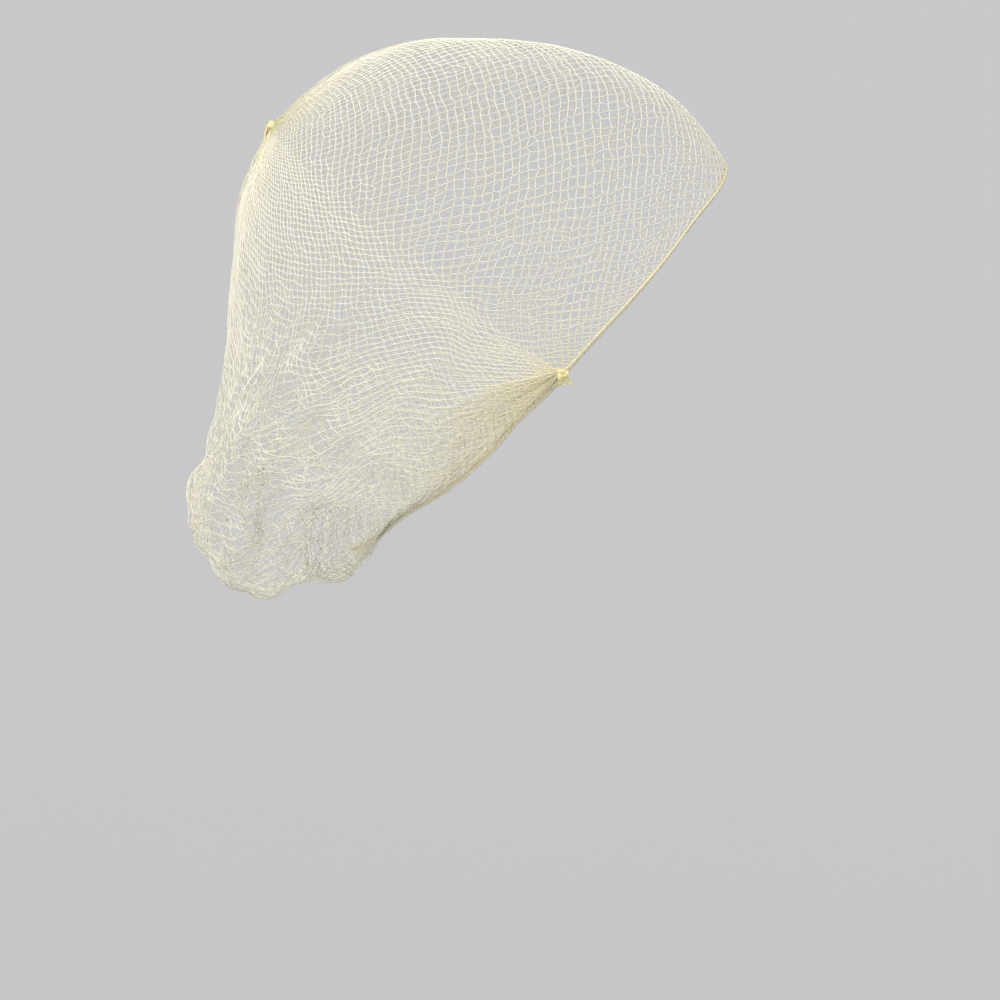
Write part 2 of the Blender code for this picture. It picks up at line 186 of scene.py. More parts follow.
# Finish of each slot's threads: name, pale and deep colour, grain, roughness, bump and sheen
FINISHES = {
    "net": ("net_yarn", "yarn", "drawn", 2600.0, 0.34, 0.25, 0.25),
    "elastic": ("edge_cord", "cord", "drawn", 1800.0, 0.42, 0.35, 0.20),
    "knot": ("wound_knot", "drawn", "knot", 1500.0, 0.38, 0.40, 0.20),
}


def length_property(name, description, default):
    """Setting for a length in metres."""
    return bpy.props.FloatProperty(
        name=name, description=description, default=default, min=0.0, precision=5,
        subtype="DISTANCE", unit="LENGTH")


def colour_property(name, description, default):
    """Setting for a colour."""
    return bpy.props.FloatVectorProperty(
        name=name, description=description, default=default, size=3, min=0.0, max=1.0,
        subtype="COLOR")


def share_property(name, description, default):
    """Setting for a plain number."""
    return bpy.props.FloatProperty(name=name, description=description, default=default)


def count_property(name, description, default):
    """Setting for a whole number."""
    return bpy.props.IntProperty(name=name, description=description, default=default)


class HairnetForm(bpy.types.PropertyGroup):
    """Sizes of the cap as worn."""

    crown_length: length_property("Crown length", "Front to back", 0.1887)
    crown_breadth: length_property("Crown breadth", "Side to side", 0.148)
    crown_height: length_property("Crown height", "Widest level to the top", 0.0925)
    roundness: share_property("Roundness", "Fullness of the crown's sides", 2.2)
    narrowing: share_property("Narrowing", "How much the front narrows", 0.06)
    pouch_swell: length_property("Pouch swell", "How far the pouch stands back", 0.0278)
    pouch_sag: length_property("Pouch sag", "How far the pouch lets down", 0.050)
    pleat_depth: length_property("Pleat depth", "Depth of the pouch's pleats", 0.0034)
    scallop_depth: length_property("Scallop depth", "Depth of the pouch's scallops", 0.0009)
    wall: length_property("Wall", "Thickness that the net may take up", 0.001)


class HairnetYarn(bpy.types.PropertyGroup):
    """Yarn and stitches of the net."""

    diameter: length_property("Yarn diameter", "Thickness of a yarn", 0.00032)
    wales: count_property("Wales", "Yarns round the net", 252)
    rows: count_property("Rows", "Rows of stitches", 98)
    fold_wales: count_property("Fold wales", "Yarns round, in the pouch's loose fold", 176)
    fold_rows: count_property("Fold rows", "Rows of stitches in the loose fold", 72)
    front_share: share_property("Front share", "Share of the yarns in front of the knots", 0.40)
    stitch: share_property("Stitch", "Thickness of a stitch over the yarn's", 1.55)
    unevenness: share_property("Unevenness", "Wander of a stitch, in cells", 0.26)
    slack: share_property("Slack", "Drift of the loose net, in cells", 1.0)
    tent: length_property("Tent", "Rise of the net to the crown knot", 0.0013)
    seed: count_property("Seed", "Seed of the uneven knitting", 7)


class HairnetCord(bpy.types.PropertyGroup):
    """Covered elastic in the edge."""

    core: length_property("Core", "Thickness of the rubber thread", 0.00088)
    wrap: length_property("Wrap", "Thickness of the wrapping yarn", 0.00016)
    wrap_pitch: length_property("Wrap pitch", "Advance of the wrapping in a turn", 0.00105)


class HairnetKnots(bpy.types.PropertyGroup):
    """Side knots and crown knot."""

    side_length: length_property("Side knot length", "Along the cord", 0.0056)
    side_width: length_property("Side knot width", "Across the cord", 0.0046)
    side_tail: length_property("Side tail", "Reach of the cut tail", 0.0052)
    crown_width: length_property("Crown knot width", "Across the knot", 0.0040)
    crown_tail: length_property("Crown tail", "Reach of the cut ends", 0.0056)
    strand: length_property("Strand", "Thickness of a strand in a knot", 0.00052)


class HairnetColours(bpy.types.PropertyGroup):
    """Colours of the yarns, the cord, the knots and the floor."""

    yarn: colour_property("Yarn", "Single yarn", (0.93, 0.908, 0.79))
    drawn: colour_property("Drawn yarn", "Yarn where it is drawn together", (0.89, 0.82, 0.53))
    cord: colour_property("Cord", "Edge cord", (0.88, 0.83, 0.60))
    knot: colour_property("Knot", "Wound knots", (0.89, 0.79, 0.41))
    floor: colour_property("Floor", "Plain floor and surround", (0.395, 0.395, 0.404))


class HairnetStage(bpy.types.PropertyGroup):
    """Camera, floor and light."""

    frame_width: length_property("Frame width", "Width of the picture at the net", 0.370)
    frame_x: share_property("Frame centre X", "Middle of the picture, metres", 0.0041)
    frame_z: share_property("Frame centre Z", "Middle of the picture, metres", -0.1702)
    distance: length_property("Distance", "Camera to the net", 3.0)
    floor_drop: length_property("Floor drop", "Crown down to the floor", 0.42)
    key: share_property("Key", "Main light", 1.8)
    fill: share_property("Fill", "Second light", 0.85)
    rim: share_property("Rim", "Light from behind", 0.8)
    sky: share_property("Sky", "Even light", 0.78)


def settings():
    """All settings, kept on the scene."""
    return bpy.context.scene.hairnet


class HairnetSettings(bpy.types.PropertyGroup):
    """Everything a user would change."""

    form: bpy.props.PointerProperty(type=HairnetForm)
    yarn: bpy.props.PointerProperty(type=HairnetYarn)
    cord: bpy.props.PointerProperty(type=HairnetCord)
    knots: bpy.props.PointerProperty(type=HairnetKnots)
    colours: bpy.props.PointerProperty(type=HairnetColours)
    stage: bpy.props.PointerProperty(type=HairnetStage)


def smooth(value):
    """Ease from 0 to 1 with level ends."""
    value = np.clip(value, 0.0, 1.0)
    return value * value * (3.0 - 2.0 * value)


def rising(value, start, full):
    """Share from 0 where a band starts to 1 where it is full."""
    return smooth((value - start) / (full - start))


def unit(vectors):
    """Vectors scaled to length 1."""
    return vectors / np.maximum(np.linalg.norm(vectors, axis=-1, keepdims=True), 1e-12)


def hermite(low, high, slope_low, slope_high, share):
    """Smooth value between two ends with given slopes."""
    square, cube = share ** 2, share ** 3
    return (
        (2 * cube - 3 * square + 1) * low + (cube - 2 * square + share) * slope_low
        + (3 * square - 2 * cube) * high + (cube - square) * slope_high)


def sampled(rows, column, place):
    """Read one column of a table at places between its rows, on a smooth curve."""
    last = len(rows) - 1
    index = np.clip(np.searchsorted(rows[:, 0], place, side="right") - 1, 0, last - 1)
    before, after = np.maximum(index - 1, 0), np.minimum(index + 2, last)
    span = rows[index + 1, 0] - rows[index, 0]
    share = np.clip((place - rows[index, 0]) / span, 0.0, 1.0)
    rise_low = rows[index + 1, column] - rows[before, column]
    rise_high = rows[after, column] - rows[index, column]
    slope_low = rise_low / (rows[index + 1, 0] - rows[before, 0]) * span
    slope_high = rise_high / (rows[after, 0] - rows[index, 0]) * span
    return hermite(rows[index, column], rows[index + 1, column], slope_low, slope_high, share)


def crown_point(headings):
    """Points of the crown that unit vectors (front, up, left) look at."""
    form = settings().form
    reach = np.minimum(1.0, np.hypot(headings[..., 0], headings[..., 1]))
    turn = np.arctan2(headings[..., 1], headings[..., 0])
    first = CROWN_PROFILE[0, 0]
    radius = reach * sampled(CROWN_PROFILE, 1, first + (np.degrees(turn) - first) % 360.0)
    bulge = (1.0 - reach ** form.roundness) ** (1.0 / form.roundness)
    narrowing = 1.0 - form.narrowing * radius * np.cos(turn)
    return np.stack([
        form.crown_length / 2 * radius * np.cos(turn),
        form.crown_breadth / 2 * np.copysign(bulge, headings[..., 2]) * narrowing,
        form.crown_height * (radius * np.sin(turn) - 1.0),
    ], axis=-1)


def direction(angle, reach, side):
    """Unit vector (front, up, left) for an angle in degrees, a reach and a side."""
    turn = math.radians(angle)
    height = math.sqrt(max(0.0, 1.0 - reach ** 2))
    return np.array([reach * math.cos(turn), reach * math.sin(turn), side * height])


def between(start, end, share):
    """Unit vectors part of the way along the arcs between others."""
    angle = np.arccos(np.clip((start * end).sum(-1), -1.0, 1.0))[..., None]
    sine = np.maximum(np.sin(angle), 1e-9)
    share = np.asarray(share)[..., None]
    blended = start * np.sin((1 - share) * angle) / sine + end * np.sin(share * angle) / sine
    return np.where(angle < 1e-6, start, blended)


class Edge:
    """The closed edge loop of the net, and places round it from 0 at the front to 1."""

    def __init__(self):
        right = [direction(angle, reach, -1) for angle, reach in EDGE_STATIONS]
        left = [direction(angle, reach, 1) for angle, reach in EDGE_STATIONS[-2:0:-1]]
        stations = np.array(right + left)
        dense = []
        share = np.arange(STATION_STEPS)[:, None] / STATION_STEPS
        for index in range(len(stations)):
            before, start, end, beyond = (
                stations[(index + step) % len(stations)] for step in (-1, 0, 1, 2))
            gaps = [math.sqrt(np.linalg.norm(b - a)) for a, b in (
                (before, start), (start, end), (end, beyond))]
            slope_low = (start - before) / gaps[0] - (end - before) / (gaps[0] + gaps[1])
            slope_low = (slope_low + (end - start) / gaps[1]) * gaps[1]
            slope_high = (end - start) / gaps[1] - (beyond - start) / (gaps[1] + gaps[2])
            slope_high = (slope_high + (beyond - end) / gaps[2]) * gaps[1]
            dense.append(unit(hermite(start, end, slope_low, slope_high, share)))
        dense = np.concatenate(dense)
        self.headings = np.vstack([dense, dense[:1]])
        steps = np.linalg.norm(np.diff(crown_point(self.headings), axis=0), axis=1)
        lengths = np.concatenate([[0.0], np.cumsum(steps)])
        self.length = lengths[-1]
        self.places = lengths / lengths[-1]
        self.knot = float(self.places[SIDE_KNOT_STATION * STATION_STEPS])

    def heading(self, place):
        """Unit vectors to places round the loop."""
        place = np.asarray(place) % 1.0
        columns = [np.interp(place, self.places, self.headings[:, k]) for k in range(3)]
        return unit(np.stack(columns, axis=-1))

    def rear_share(self, place):
        """Share from a side knot (0) to the middle of the back (1)."""
        return 1.0 - np.abs(np.asarray(place) % 1.0 - 0.5) / (0.5 - self.knot)


class Surface:
    """The smooth net with its pouch, pleats and scallops, by place and by share up the gore."""

    def __init__(self):
        self.edge = Edge()
        self.top = direction(CROWN_KNOT_ANGLE, 1.0, 1)

    def plain(self, place, along):
        """Points of the net before pleats."""
        form = settings().form
        place, along = np.broadcast_arrays(np.asarray(place, float), np.asarray(along, float))
        heading = self.edge.heading(place)
        point = crown_point(between(heading, np.broadcast_to(self.top, heading.shape), along))
        hang = smooth(self.edge.rear_share(place))
        point[..., 0] -= form.pouch_swell * hang * sampled(POUCH_SECTIONS, 1, along)
        point[..., 2] -= form.pouch_sag * hang ** 2 * sampled(POUCH_SECTIONS, 2, along)
        return point

    def normal(self, place, along):
        """Outward directions of the plain net."""
        step = 0.002
        along = np.clip(along, step, 1.0 - 2 * step)
        across = self.plain(place + step, along) - self.plain(place - step, along)
        upward = self.plain(place, along + step) - self.plain(place, along - step)
        return unit(np.cross(upward, across))

    def pleats(self, place, along):
        """Each pleat as places see it: distance, sign that leads there, width, depth, rise."""
        share = self.edge.rear_share(place)
        side = np.where(place % 1.0 < 0.5, -1, 1)
        for pleat_side, spot, width, depth, start, end in POUCH_PLEATS:
            same = side == pleat_side
            away = np.where(same, share - spot, 2.0 - share - spot)
            rise = smooth((along - start) / PLEAT_RISE) * smooth((end - along) / PLEAT_FADE)
            yield away, np.where(same, side, -side), width, depth, rise

    def relief(self, place, along):
        """Height of the pleats and scallops."""
        form = settings().form
        height = np.zeros(np.broadcast(place, along).shape)
        for away, _, width, depth, rise in self.pleats(place, along):
            height += form.pleat_depth * depth * np.exp(-((away / width) ** 2)) * rise
        share = self.edge.rear_share(place)
        scalloped = rising(share, *SCALLOP_SPREAD) * rising(along, *SCALLOP_BAND[:2])
        scalloped = scalloped * (1.0 - rising(along, *SCALLOP_BAND[2:]))
        waves = SCALLOP_WAVES[0] * along + SCALLOP_WAVES[1] * place
        height += form.scallop_depth * scalloped * np.sin(2 * np.pi * waves)
        return height

    def slackness(self, place, along):
        """How loosely the net hangs: most in the pouch, least where it is stretched."""
        hung = rising(self.edge.rear_share(place), *SLACK_BEHIND) * rising(along, *SLACK_START)
        return LEAST_SLACK + (1.0 - LEAST_SLACK) * hung * (1.0 - rising(along, *SLACK_END))

    def bunched(self, place, along):
        """Places drawn together along the ridges of the pleats."""
        shift = np.zeros(np.broadcast(place, along).shape)
        for away, towards, width, depth, rise in self.pleats(place, along):
            near = np.exp(-((away / (PLEAT_PULL_REACH * width)) ** 2))
            shift += towards * PLEAT_PULL * abs(depth) * away * near * rise
        return place + shift * (0.5 - self.edge.knot)

    def at(self, place, along, lift):
        """Points over the inner face of the net."""
        normal = self.normal(place, along)
        lift = self.relief(place, along) + lift
        return self.plain(place, along) + normal * np.asarray(lift)[..., None], normal

    def cord(self, place):
        """Middle of the edge cord and its outward directions."""
        place = np.asarray(place, float)
        normal = self.normal(place, np.zeros_like(place))
        point = self.plain(place, np.zeros_like(place)) + normal * (settings().form.wall / 2)
        return point, normal


def thread_mesh(name, sides, paths, radii, guides, drawn):
    """Round threads as one mesh, with a radius, a guide direction and a tint for each point."""
    paths = np.asarray(paths, float)
    count, steps, _ = paths.shape
    radii = np.broadcast_to(radii, (count, steps))
    tangent = unit(np.gradient(paths, axis=1))
    across = unit(np.cross(tangent, guides))
    up = np.cross(across, tangent)
    turn = 2 * np.pi * np.arange(sides) / sides
    ring = across[:, :, None] * np.cos(turn)[:, None] + up[:, :, None] * np.sin(turn)[:, None]
    points = paths[:, :, None] + ring * radii[:, :, None, None]
    if not np.isfinite(points).all():
        raise ValueError(name + " has points that are not numbers")
    index = np.arange(count * steps * sides).reshape(count, steps, sides)
    after = np.roll(index, -1, axis=2)
    quads = np.stack([index[:, :-1], index[:, 1:], after[:, 1:], after[:, :-1]], axis=-1)
    first, last = index[:, 0], index[:, -1, ::-1]
    loops = np.concatenate([quads.ravel(), first.ravel(), last.ravel()])
    sizes = np.concatenate([np.full(quads.size // 4, 4), np.full(2 * count, sides)])
    mesh = bpy.data.meshes.new(name)
    mesh.vertices.add(points.size // 3)
    mesh.vertices.foreach_set("co", points.astype(np.float32).ravel())
    mesh.loops.add(len(loops))
    mesh.loops.foreach_set("vertex_index", loops.astype(np.int32))
    mesh.polygons.add(len(sizes))
    starts = np.concatenate([[0], np.cumsum(sizes)[:-1]])
    mesh.polygons.foreach_set("loop_start", starts.astype(np.int32))
    mesh.update(calc_edges=True)
    mesh.shade_smooth()
    mask = np.broadcast_to(drawn, (count, steps))
    mask = np.repeat(mask[:, :, None], sides, axis=2)
    mesh.attributes.new("drawn", "FLOAT", "POINT").data.foreach_set(
        "value", mask.astype(np.float32).ravel())
    return mesh


def preset(node, values):
    """Set some of a node's own inputs."""
    for name, value in values.items():
        node.inputs[name].default_value = value
    return node


def wire(tree, *wires):
    """Link an output of one node to an input of another, once for each row."""
    for source, output, target, entry in wires:
        tree.links.new(source.outputs[output], target.inputs[entry])


def fibre_group():
    """Fibre effect for every thread: tint by how drawn together it is, roughness and fuzz."""
    group = bpy.data.node_groups.get("Fibre")
    if group:
        return group
    stain, uneven_rough = 0.35, 0.2
    group = bpy.data.node_groups.new("Fibre", "ShaderNodeTree")
    for side, kind, names in (
            ("INPUT", "Color", ("Pale", "Deep")), ("INPUT", "Float", ("Grain", "Rough")),
            ("OUTPUT", "Color", ("Colour",)), ("OUTPUT", "Float", ("Roughness", "Height"))):
        for name in names:
            group.interface.new_socket(name=name, in_out=side, socket_type="NodeSocket" + kind)
    nodes = group.nodes
    entry, out = nodes.new("NodeGroupInput"), nodes.new("NodeGroupOutput")
    place = nodes.new("ShaderNodeTexCoord")
    mask = nodes.new("ShaderNodeAttribute")
    mask.attribute_name = "drawn"
    fine = preset(nodes.new("ShaderNodeTexNoise"), {"Detail": 3.0})
    broad = preset(nodes.new("ShaderNodeTexNoise"), {"Scale": 60.0})
    stained, rough = nodes.new("ShaderNodeMath"), nodes.new("ShaderNodeMath")
    stained.operation = rough.operation = "MULTIPLY_ADD"
    stained.use_clamp = True
    preset(stained, {1: stain})
    preset(rough, {1: uneven_rough})
    tint = nodes.new("ShaderNodeMix")
    tint.data_type = "RGBA"
    shade = preset(nodes.new("ShaderNodeMapRange"), {"To Min": 0.86, "To Max": 1.08})
    colour = nodes.new("ShaderNodeVectorMath")
    colour.operation = "SCALE"
    wire(
        group, (place, "Object", fine, "Vector"), (place, "Object", broad, "Vector"),
        (entry, "Grain", fine, "Scale"), (broad, "Fac", stained, 0), (mask, "Fac", stained, 2),
        (stained, 0, tint, "Factor"), (entry, "Pale", tint, "A"), (entry, "Deep", tint, "B"),
        (fine, "Fac", shade, "Value"), (tint, "Result", colour, "Vector"),
        (shade, "Result", colour, "Scale"), (colour, "Vector", out, "Colour"),
        (fine, "Fac", rough, 0), (entry, "Rough", rough, 2), (rough, 0, out, "Roughness"),
        (fine, "Fac", out, "Height"))
    return group


def thread_material(slot):
    """Finish of the net's yarn, the covered elastic or the wound knots."""
    name, pale, deep, grain, rough, bump, sheen = FINISHES[slot]
    material = bpy.data.materials.get(name)
    if material:
        return material
    colours = settings().colours
    material = bpy.data.materials.new(name)
    material.use_nodes = True
    nodes = material.node_tree.nodes
    shader = preset(nodes["Principled BSDF"], {
        "Sheen Weight": sheen, "Sheen Roughness": 0.4, "Specular IOR Level": 0.45})
    fibre = nodes.new("ShaderNodeGroup")
    fibre.node_tree = fibre_group()
    preset(fibre, {
        "Pale": (*getattr(colours, pale), 1.0), "Deep": (*getattr(colours, deep), 1.0),
        "Grain": grain, "Rough": rough})
    raised = preset(nodes.new("ShaderNodeBump"), {"Strength": bump, "Distance": 0.0001})
    wire(
        material.node_tree, (fibre, "Colour", shader, "Base Color"),
        (fibre, "Roughness", shader, "Roughness"), (fibre, "Height", raised, "Height"),
        (raised, "Normal", shader, "Normal"))
    return material


def add_threads(name, slot, node, sides, *threads):
    """Add threads as one piece, in its slot's finish, that stands for a node of the part."""
    piece = bpy.data.objects.new(name, thread_mesh(name, sides, *threads))
    bpy.context.scene.collection.objects.link(piece)
    piece.data.materials.append(thread_material(slot))
    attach(piece, "root")
    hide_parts(node)


def wale_place(surface, around, along):
    """Place of a wale round the net: drawn to the side knots at the edge, even higher up."""
    yarn, knot = settings().yarn, surface.edge.knot
    around = around % 1.0
    left = around > 0.5
    half = np.where(left, 1.0 - around, around)
    front_half = yarn.front_share / 2
    in_front = half < front_half
    to_front = np.clip(1.0 - half / front_half, 0.0, 1.0)
    to_back = np.clip((half - front_half) / (0.5 - front_half), 0.0, 1.0)
    even = np.where(in_front, knot * (1.0 - to_front), knot + (0.5 - knot) * to_back)
    front_edge = knot * (1.0 - to_front ** FRONT_DRAW)
    back_edge = knot + (0.5 - knot) * to_back ** BACK_DRAW
    drawn = np.where(in_front, front_edge, back_edge)
    spread = smooth(along / DRAWN_BAND)
    place = drawn + (even - drawn) * spread
    return surface.bunched(np.where(left, 1.0 - place, place), along)


def row_along(share, around):
    """Share up the gore of a row, closer together at the bottom of the pouch."""
    back = (0.5 - np.abs(around % 1.0 - 0.5)) * CROWDING_SPREAD[0] - CROWDING_SPREAD[1]
    power = ROW_CROWDING[0] + ROW_CROWDING[1] * smooth(back)
    return FIRST_ROW + ROW_SPAN * np.clip(share, 0.0, 1.0) ** power


def tented(from_top):
    """Rise of the net to the crown knot."""
    return settings().yarn.tent * np.exp(-(from_top / TENT_REACH) ** TENT_POWER)


def drawn_tint(place, along, knot):
    """Tint where the net is drawn together, at the crown knot and at the side knots."""
    off_knot = np.minimum(np.abs(place % 1.0 - knot), np.abs(place % 1.0 - 1.0 + knot))
    off_side = np.hypot(off_knot * SIDE_TINT_NARROWING, along)
    near_top = CROWN_TINT * np.exp(-(1.0 - along) / CROWN_TINT_REACH)
    return np.clip(near_top + SIDE_TINT * np.exp(-off_side / SIDE_TINT_REACH), 0.0, 1.0)


class Tangle:
    """Smooth uneven field over the net, the same on both sides of its seam."""

    def __init__(self, seed, finest):
        random = np.random.default_rng(seed)
        self.around = random.integers(-finest, finest + 1, TANGLE_WAVES)
        self.upward = random.uniform(-TANGLE_SLANT, TANGLE_SLANT, TANGLE_WAVES) * finest
        self.phase = random.uniform(0.0, 1.0, TANGLE_WAVES)
        self.weight = random.uniform(0.5, 1.0, TANGLE_WAVES) * TANGLE_WEIGHT

    def __call__(self, around, upward):
        turns = around[..., None] * self.around + upward[..., None] * self.upward + self.phase
        return (np.sin(2 * np.pi * turns) * self.weight).sum(-1)


class Knit:
    """Layer of the net: wales, rows, how loose it lies, and its last row if it ends early."""

    def __init__(self, wales, rows, fold=0.0, last_row=None):
        self.wales, self.rows = wales, rows
        self.fold, self.last_row = fold, last_row

    def nodes(self, numbers, random, tangles, surface):
        """Column, its drift, row and lift of every stitch along some yarns."""
        yarn = settings().yarn
        wander = random.normal(0.0, yarn.unevenness / 2, (4, self.wales, self.rows + 1))
        wander = np.clip(wander, -WANDER_LIMIT, WANDER_LIMIT)
        rows = np.arange(self.rows + 1)
        leaning = (rows[None] + numbers[:, None]) % 2 == 0
        stitch = np.where(leaning, numbers[:, None], numbers[:, None] - 1)
        own = wander[:, stitch % self.wales, rows[None]]
        held = smooth(rows / HELD_ROWS[0]) * smooth((self.rows - rows) / HELD_ROWS[1])
        beside = np.where(leaning, -STITCH_GAP, STITCH_GAP)
        column = stitch + 0.5 + beside + own[0] * held
        line = rows[None] + own[1] * held
        around, upward = column / self.wales, line / self.rows
        along = row_along(upward, around)
        slack = surface.slackness(wale_place(surface, around, along), along)
        slack = slack * held * (1.0 + self.fold)
        drift, drop, puff = (tangle(around, upward) for tangle in tangles)
        moved = slack * (yarn.slack * drift + LOOSE_COLUMN * own[0])
        line = line + slack * (yarn.slack * drop + LOOSE_LINE * own[2])
        lifted = slack * (puff + LOOSE_LIFT * own[3] - LOOSE_SINK)
        return column, moved, line, lifted

    def paths(self, surface, numbers):
        """Points, radii, guides and tint masks of some yarns."""
        yarn, form = settings().yarn, settings().form
        seed = yarn.seed + (FOLD_SEED if self.fold else 0)
        random = np.random.default_rng(seed)
        tangles = [
            Tangle(seed + number, self.wales // cells)
            for number, cells in enumerate(TANGLE_CELLS, 1)]
        heaped = random.uniform(0.0, 1.0, self.wales)[numbers % self.wales][:, None]
        column, moved, line, lifted = self.nodes(numbers, random, tangles, surface)
        fine = np.arange(YARN_STEPS * self.rows + 1) / YARN_STEPS
        low = np.minimum(fine.astype(int), self.rows - 1)
        share = fine - low
        column, line, lifted = (
            hermite(grid[:, low], grid[:, low + 1], slope[:, low], slope[:, low + 1], share)
            for grid, slope in (
                (column + moved, np.gradient(moved, axis=1)), (line, np.gradient(line, axis=1)),
                (lifted, np.gradient(lifted, axis=1))))
        along = row_along(line / self.rows, column / self.wales)
        place = wale_place(surface, column / self.wales, along)
        from_top = 1.0 - along
        heap = HEAP * heaped * np.exp(-from_top / HEAP_REACH)
        lift = form.wall * (YARN_LIFT + heap + LOOSE_HEIGHT * lifted) + tented(from_top)
        lift = lift - form.wall * self.fold * rising(along, 0.0, FOLD_BAND)
        points, guides = surface.at(place, along, lift)
        crowded = np.clip(1.0 - from_top / CROWDED_REACH, 0.0, 1.0)
        at_stitch = np.abs(fine - np.round(fine)) < 0.5 / YARN_STEPS
        thick = 1.0 + (np.where(at_stitch, yarn.stitch, 1.0) - 1.0) * (1.0 - crowded)
        radius = yarn.diameter / 2 * thick * (1.0 - CROWDED_THINNING * crowded)
        drawn = drawn_tint(place, along, surface.edge.knot)
        if self.last_row is None:
            return points, radius, guides, drawn
        ends = self.last_row - random.integers(0, FOLD_FRAY, len(numbers))[:, None]
        radius = radius * (1.0 - FRAY_THINNING * rising(fine[None], ends - FRAY_ROWS, ends))
        end = YARN_STEPS * self.last_row + 1
        return points[:, :end], radius[:, :end], guides[:, :end], drawn[:, :end]


class HAIRNET_OT_net(bpy.types.Operator):
    """Knit the net: yarns that meet in stitches and gather at the knots"""

    bl_idname = "hairnet.net"
    bl_label = "Knit net"

    def execute(self, context):
        surface, yarn = Surface(), settings().yarn
        wales, fold_wales, half_front = yarn.wales, yarn.fold_wales, yarn.front_share / 2
        front = int(round(wales * half_front))
        inset = int(round(fold_wales * (half_front + FOLD_START * (0.5 - half_front))))
        net = Knit(wales, yarn.rows)
        fold = Knit(fold_wales, yarn.fold_rows, FOLD_LOOSENESS, int(yarn.fold_rows * FOLD_TOP))
        for name, knit, first, end in (
                ("net_front_left", net, -front, 0), ("net_front_right", net, 0, front),
                ("net_right", net, front, wales // 2),
                ("net_left", net, wales // 2, wales - front),
                ("pouch_fold", fold, inset, fold_wales - inset)):
            threads = knit.paths(surface, np.arange(first, end))
            add_threads(name, "net", "net", YARN_SIDES, *threads)
        return {"FINISHED"}


def gather_paths(surface, side):
    """Net drawn together in a wedge from one side knot along the nape cord."""
    yarn, form, knot = settings().yarn, settings().form, surface.edge.knot
    random = np.random.default_rng(yarn.seed + GATHER_SEED + side)
    count, steps, uneven = 40, 150, 0.4
    shortest, spread, longest = 0.34, 0.70, 0.97
    from_knot, from_cord, least = 0.002, 0.005, 0.003
    # The wedge: its height, how yarns crowd low in it, how low the short ones stay, the powers
    # by which it opens and closes, its fullest value and its blunt start
    height, crowding, low_end = 0.17, 1.5, 0.3
    opening, closing, fullest, blunt = 0.75, 0.85, 0.47, 0.012
    cells, cell_height, waves, sway = 46.0, 0.016, 31.0, 0.002
    depth, heap, thickness, thinning = 0.35, 1.3, 0.38, 0.55
    tint, fading, palest = 0.75, 1.5, 0.05
    number = np.arange(count)[:, None]
    step = np.linspace(0.0, 1.0, steps)[None]
    rank = np.maximum((number + random.uniform(-uneven, uneven, (count, 1))) / count, 0.0)
    reach = np.clip(shortest + spread * random.uniform(0.0, 1.0, (count, 1)), 0.0, longest)
    place = knot + from_knot + (0.5 - knot) * reach * step
    bow = (step + blunt) ** opening * (1.0 - step) ** closing / fullest
    along = from_cord + height * rank ** crowding * bow * (low_end + (1.0 - low_end) * reach)
    zigzag = np.abs((step * cells * reach + number * 0.5) % 1.0 - 0.5) - 0.25
    near = rising(step, 0.0, 0.25)
    along = along + zigzag * cell_height * near * rising(along, 0.004, 0.03)
    phase = random.uniform(0.0, 6.0, (count, 1))
    along = np.maximum(along + sway * near * np.sin(step * waves + phase), least)
    place = place if side < 0 else 1.0 - place
    heaped = random.uniform(0.0, 1.0, (count, 1))
    points, guides = surface.at(place, along, form.wall * (depth + heap * heaped))
    radius = yarn.diameter * thickness * (1.0 - thinning * step ** 2)
    return points, radius, guides, np.clip(tint - fading * step * reach, palest, 1.0)


def crest_paths(surface):
    """Loose doubled yarns that stand a little off the net before and behind the crown knot."""
    yarn, form = settings().yarn, settings().form
    random = np.random.default_rng(yarn.seed + CREST_SEED)
    count, steps = 46, 120
    top, lowest, highest, behind = 0.992, 0.68, 0.88, 0.04
    apart, fanning, sway, sway_waves = 0.030, 0.012, 0.003, (6.0, 14.0)
    scallop_waves, standing, least_standing = (7.0, 12.0), (0.4, 1.5), 0.35
    depth, thickness, thinning = 0.5, 0.42, 0.5
    tint, fading, palest = 0.75, 1.3, 0.1
    step = np.linspace(0.0, 1.0, steps)[None]
    front = np.arange(count)[:, None] % 2 == 0
    spread = random.normal(0.0, 1.0, (count, 1))
    end = random.uniform(lowest, highest, (count, 1)) + np.where(front, 0.0, behind)
    along = top - (top - end) * step
    aside = spread * (apart + fanning * step) * rising(step, 0.0, 0.12)
    swaying = sway * np.sin(step * random.uniform(*sway_waves, (count, 1)) + 9.0 * spread)
    place = np.where(front, 0.0, 0.5) + aside + swaying * rising(step, 0.05, 0.3)
    scallop = np.abs(np.sin(step * random.uniform(*scallop_waves, (count, 1)) + 5.0 * spread))
    scallop = least_standing + (1.0 - least_standing) * scallop
    stand = random.uniform(*standing, (count, 1)) * scallop
    lift = form.wall * (depth + stand * (1.0 - rising(step, 0.55, 1.0)))
    points, guides = surface.at(place, along, lift + tented(1.0 - along))
    radius = yarn.diameter * thickness * (1.0 - thinning * step ** 3)
    return points, radius, guides, np.clip(tint - fading * step, palest, 1.0)


class HAIRNET_OT_gathers(bpy.types.Operator):
    """Draw yarns together behind the side knots and over the crown"""

    bl_idname = "hairnet.gathers"
    bl_label = "Draw gathers"

    def execute(self, context):
        surface = Surface()
        for name, side in (("gathers_right", -1), ("gathers_left", 1)):
            add_threads(name, "net", "net", LOOSE_SIDES, *gather_paths(surface, side))
        add_threads("crest", "net", "net", LOOSE_SIDES, *crest_paths(surface))
        return {"FINISHED"}


